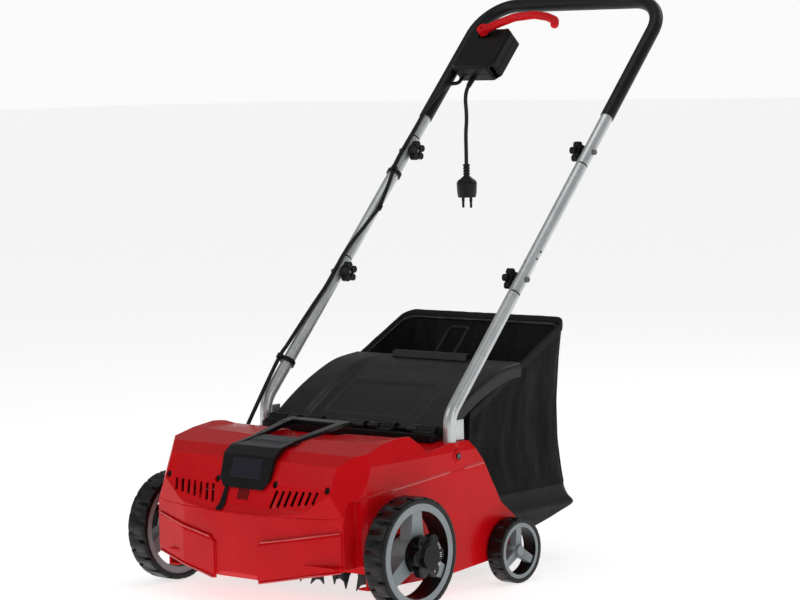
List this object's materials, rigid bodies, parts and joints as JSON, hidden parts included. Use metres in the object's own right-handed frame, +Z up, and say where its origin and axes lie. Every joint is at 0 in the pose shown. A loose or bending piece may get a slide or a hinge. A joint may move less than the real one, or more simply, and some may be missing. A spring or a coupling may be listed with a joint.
{
  "type": "lawn dethatcher",
  "caption": "Electric lawn dethatcher with a red two-part body, knife drum, folding tube handle with switch box and bail, hinged deflector lid, rear grass bag and depth-adjustable front wheels.",
  "frame": {"origin": "on the floor, under the middle of the whole machine as it stands with its handle up", "axes": "+X to the right seen from the front, +Y to the rear where the operator walks, +Z up"},
  "size_m": [0.638, 0.9709, 1.0095],
  "materials": {
    "red_plastic": "glossy moulded",
    "red_control": "semi-gloss",
    "black_plastic": "satin moulded",
    "lid_plastic": "satin moulded",
    "badge": "glossy",
    "grey_insert": "satin",
    "motor_metal": "satin paint",
    "steel": "turned",
    "dark_steel": "dark coated",
    "black_nylon": "satin moulded",
    "belt_rubber": "matte",
    "bag_cloth": "woven mesh",
    "bag_plastic": "satin moulded",
    "grip_foam": "matte",
    "bow_paint": "silver paint",
    "tube_paint": "silver paint",
    "screw_steel": "zinc",
    "knob_plastic": "satin moulded",
    "rim_plastic": "satin grey",
    "tyre": "matte",
    "cable_rubber": "matte"
  },
  "bodies": {
    "chassis": {"lower_housing": "red_plastic", "top_cowl": "red_plastic", "carry_handle": "black_plastic", "badge_plate": "badge", "handle_insert": "grey_insert", "motor_can": "motor_metal", "drive_belt": "belt_rubber", "drum_bearings": "black_plastic", "hinge_bar": "black_plastic", "hinge_rod": "steel", "lid_spring": "steel", "cable_lower": "cable_rubber", "cable_clip": "black_plastic", "lower_bolts": "screw_steel", "leg_screws": "screw_steel", "cowl_screws": "screw_steel", "lower_tube_left": "tube_paint", "lower_tube_right": "tube_paint", "rear_pins": "steel"},
    "drum": {"drum_shaft": "steel", "drum_knives": "dark_steel", "drum_pulley": "black_nylon"},
    "rotor": {"motor_rotor": "steel", "cooling_fan": "black_nylon", "motor_pulley": "black_nylon"},
    "lid": {"deflector_lid": "lid_plastic", "lid_grip": "black_plastic"},
    "bag": {"bag_fabric": "bag_cloth", "bag_base": "bag_plastic", "bag_frame": "dark_steel"},
    "bag_loop": {"bag_carry_loop": "dark_steel"},
    "handle_middle": {"middle_tube_left": "tube_paint", "middle_tube_right": "tube_paint", "upper_bolts": "screw_steel", "cable_middle": "cable_rubber", "cable_hook": "black_plastic"},
    "handle_upper": {"upper_bow": "bow_paint", "grip_sleeve": "grip_foam", "switch_front": "black_plastic", "switch_back": "black_plastic", "strain_relief": "cable_rubber", "plug": "cable_rubber", "plug_lead": "cable_rubber", "cable_upper": "cable_rubber"},
    "button": {"push_button": "red_control"},
    "bail": {"bail_lever": "red_control"},
    "adjuster_left": {"depth_adjuster_left": "black_nylon"},
    "front_wheel_left": {"front_rim_left": "rim_plastic", "front_tyre_left": "tyre"},
    "rear_wheel_left": {"rear_rim_left": "rim_plastic", "rear_tyre_left": "tyre"},
    "lower_knob_left": {"lower_knob_left": "knob_plastic"},
    "upper_knob_left": {"upper_knob_left": "knob_plastic"},
    "adjuster_right": {"depth_adjuster_right": "black_nylon"},
    "front_wheel_right": {"front_rim_right": "rim_plastic", "front_tyre_right": "tyre"},
    "rear_wheel_right": {"rear_rim_right": "rim_plastic", "rear_tyre_right": "tyre"},
    "lower_knob_right": {"lower_knob_right": "knob_plastic"},
    "upper_knob_right": {"upper_knob_right": "knob_plastic"}
  },
  "joints": [
    {"name": "drum_spin", "type": "hinge", "parent": "chassis", "child": "drum", "pos_m": [0, -0.28545, 0.066], "axis": [1, 0, 0], "continuous": true},
    {"name": "rotor_spin", "type": "hinge", "parent": "chassis", "child": "rotor", "pos_m": [0, -0.39745, 0.178], "axis": [1, 0, 0], "continuous": true},
    {"name": "lid_swing", "type": "hinge", "parent": "chassis", "child": "lid", "pos_m": [0, -0.18345, 0.272], "axis": [1, 0, 0], "range_deg": [0, 65], "stiffness_Nm_per_rad": 0.5, "springref_deg": -34.38},
    {"name": "bag_slide", "type": "slide", "parent": "chassis", "child": "bag", "axis": [0, 1, 0], "range_m": [0, 0.2]},
    {"name": "bag_loop_swing", "type": "hinge", "parent": "bag", "child": "bag_loop", "pos_m": [0, 0.05655, 0.36304], "axis": [1, 0, 0], "range_deg": [0, 45]},
    {"name": "lower_fold", "type": "hinge", "parent": "chassis", "child": "handle_middle", "pos_m": [0, 0.0241, 0.51571], "axis": [1, 0, 0], "range_deg": [0, 130]},
    {"name": "upper_fold", "type": "hinge", "parent": "handle_middle", "child": "handle_upper", "pos_m": [0, 0.22256, 0.72854], "axis": [1, 0, 0], "range_deg": [-130, 0]},
    {"name": "button_press", "type": "slide", "parent": "handle_upper", "child": "button", "axis": [0, -0.682, -0.7314], "range_m": [0, 0.005], "stiffness_N_per_m": 400, "springref_m": -0.002},
    {"name": "bail_pull", "type": "hinge", "parent": "handle_upper", "child": "bail", "pos_m": [-0.16, 0.39095, 0.95163], "axis": [0, -0.7314, 0.682], "range_deg": [0, 12], "stiffness_Nm_per_rad": 0.4, "springref_deg": -17.19},
    {"name": "depth_left", "type": "hinge", "parent": "chassis", "child": "adjuster_left", "pos_m": [-0.23, -0.35545, 0.103], "axis": [1, 0, 0], "range_deg": [0, 110]},
    {"name": "front_wheel_left_spin", "type": "hinge", "parent": "adjuster_left", "child": "front_wheel_left", "pos_m": [-0.273, -0.35545, 0.095], "axis": [1, 0, 0], "continuous": true},
    {"name": "rear_wheel_left_spin", "type": "hinge", "parent": "chassis", "child": "rear_wheel_left", "pos_m": [-0.248, -0.05345, 0.056], "axis": [1, 0, 0], "continuous": true},
    {"name": "lower_knob_left_turn", "type": "hinge", "parent": "chassis", "child": "lower_knob_left", "pos_m": [-0.1915, 0.0241, 0.51571], "axis": [1, 0, 0], "continuous": true},
    {"name": "upper_knob_left_turn", "type": "hinge", "parent": "handle_middle", "child": "upper_knob_left", "pos_m": [-0.1915, 0.22256, 0.72854], "axis": [1, 0, 0], "continuous": true},
    {"name": "depth_right", "type": "hinge", "parent": "chassis", "child": "adjuster_right", "pos_m": [0.23, -0.35545, 0.103], "axis": [1, 0, 0], "range_deg": [0, 110]},
    {"name": "front_wheel_right_spin", "type": "hinge", "parent": "adjuster_right", "child": "front_wheel_right", "pos_m": [0.273, -0.35545, 0.095], "axis": [1, 0, 0], "continuous": true},
    {"name": "rear_wheel_right_spin", "type": "hinge", "parent": "chassis", "child": "rear_wheel_right", "pos_m": [0.248, -0.05345, 0.056], "axis": [1, 0, 0], "continuous": true},
    {"name": "lower_knob_right_turn", "type": "hinge", "parent": "chassis", "child": "lower_knob_right", "pos_m": [0.1915, 0.0241, 0.51571], "axis": [1, 0, 0], "continuous": true},
    {"name": "upper_knob_right_turn", "type": "hinge", "parent": "handle_middle", "child": "upper_knob_right", "pos_m": [0.1915, 0.22256, 0.72854], "axis": [1, 0, 0], "continuous": true}
  ],
  "couplings": [
    {"joint": "rotor_spin", "follows": "drum_spin", "ratio": 2.304}
  ]
}
